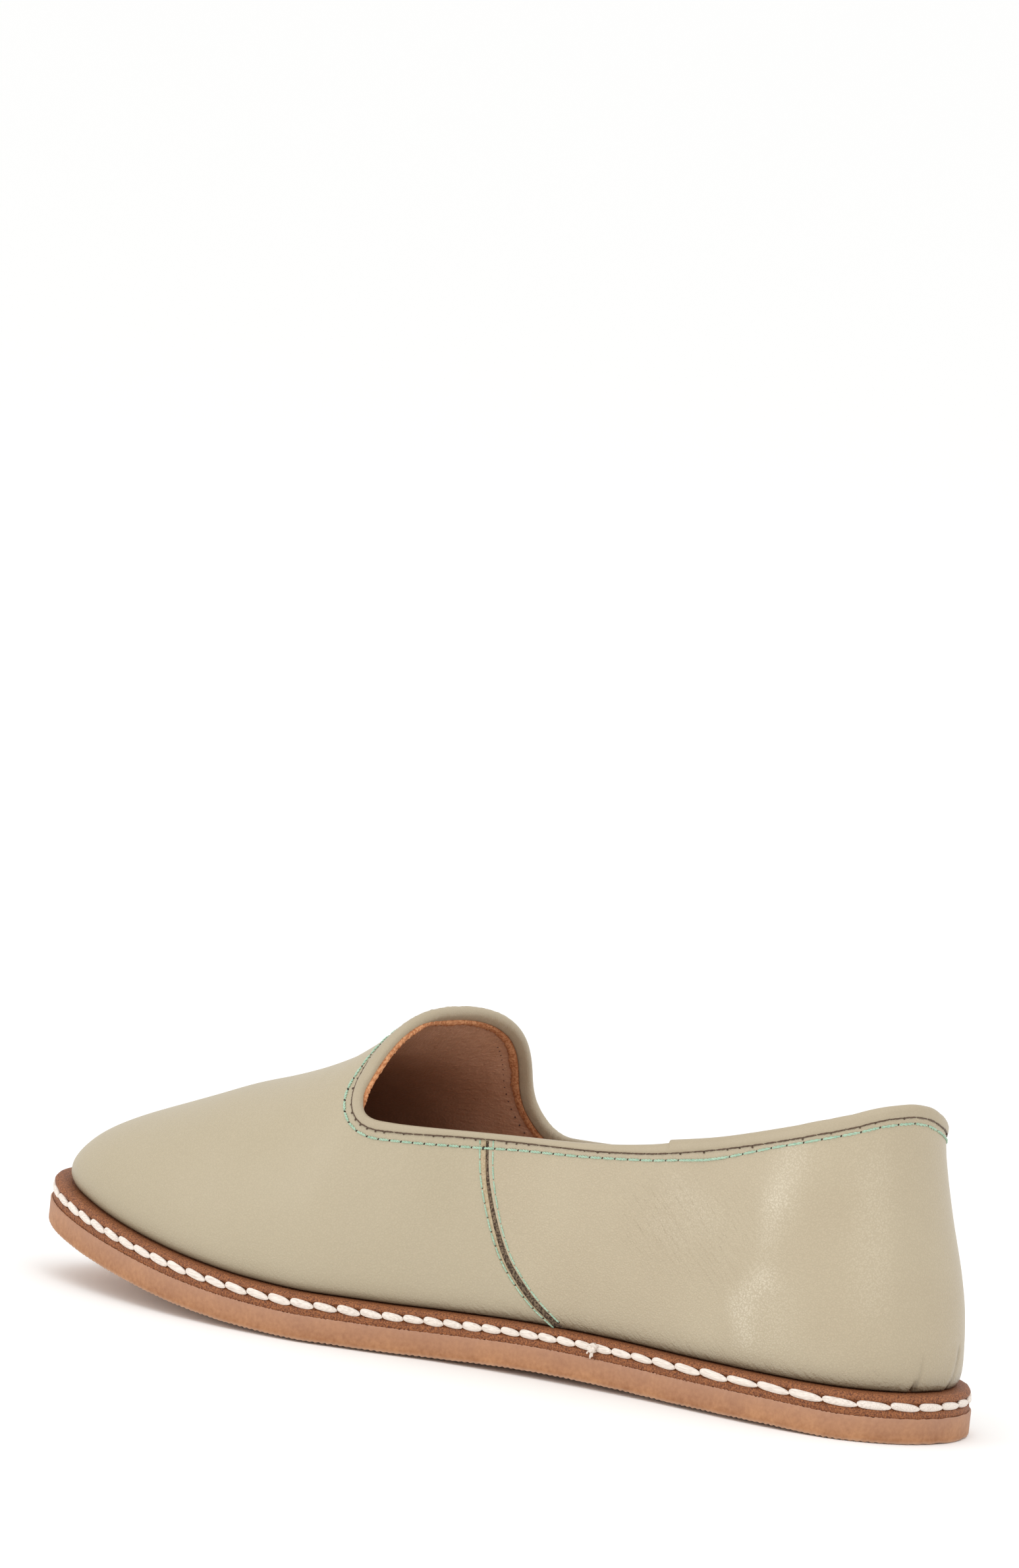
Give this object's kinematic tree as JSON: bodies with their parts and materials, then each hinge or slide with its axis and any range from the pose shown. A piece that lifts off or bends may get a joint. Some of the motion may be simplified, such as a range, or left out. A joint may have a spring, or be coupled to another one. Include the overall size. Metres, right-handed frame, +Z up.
{
  "type": "flat slip-on shoe",
  "caption": "Flat slip-on leather shoe with an arched throat, bound topline, stitched leather midsole and a thin rubber outsole with a lifted toe.",
  "frame": {"origin": "centre of the sole's plan on the ground", "axes": "+Y towards the toe, +X towards the outer (lateral) side of the right foot, +Z up"},
  "size_m": [0.0886, 0.256, 0.0831],
  "materials": {
    "outsole_rubber": "matt honey rubber",
    "midsole_leather": "satin brown edge",
    "insole_leather": "matt brown",
    "upper_leather": "smooth satin beige",
    "binding_leather": "smooth satin beige"
  },
  "bodies": {
    "root": {"outsole": "outsole_rubber", "midsole": "midsole_leather", "insole": "insole_leather", "upper": "upper_leather", "topline_binding": "binding_leather"}
  },
  "joints": []
}
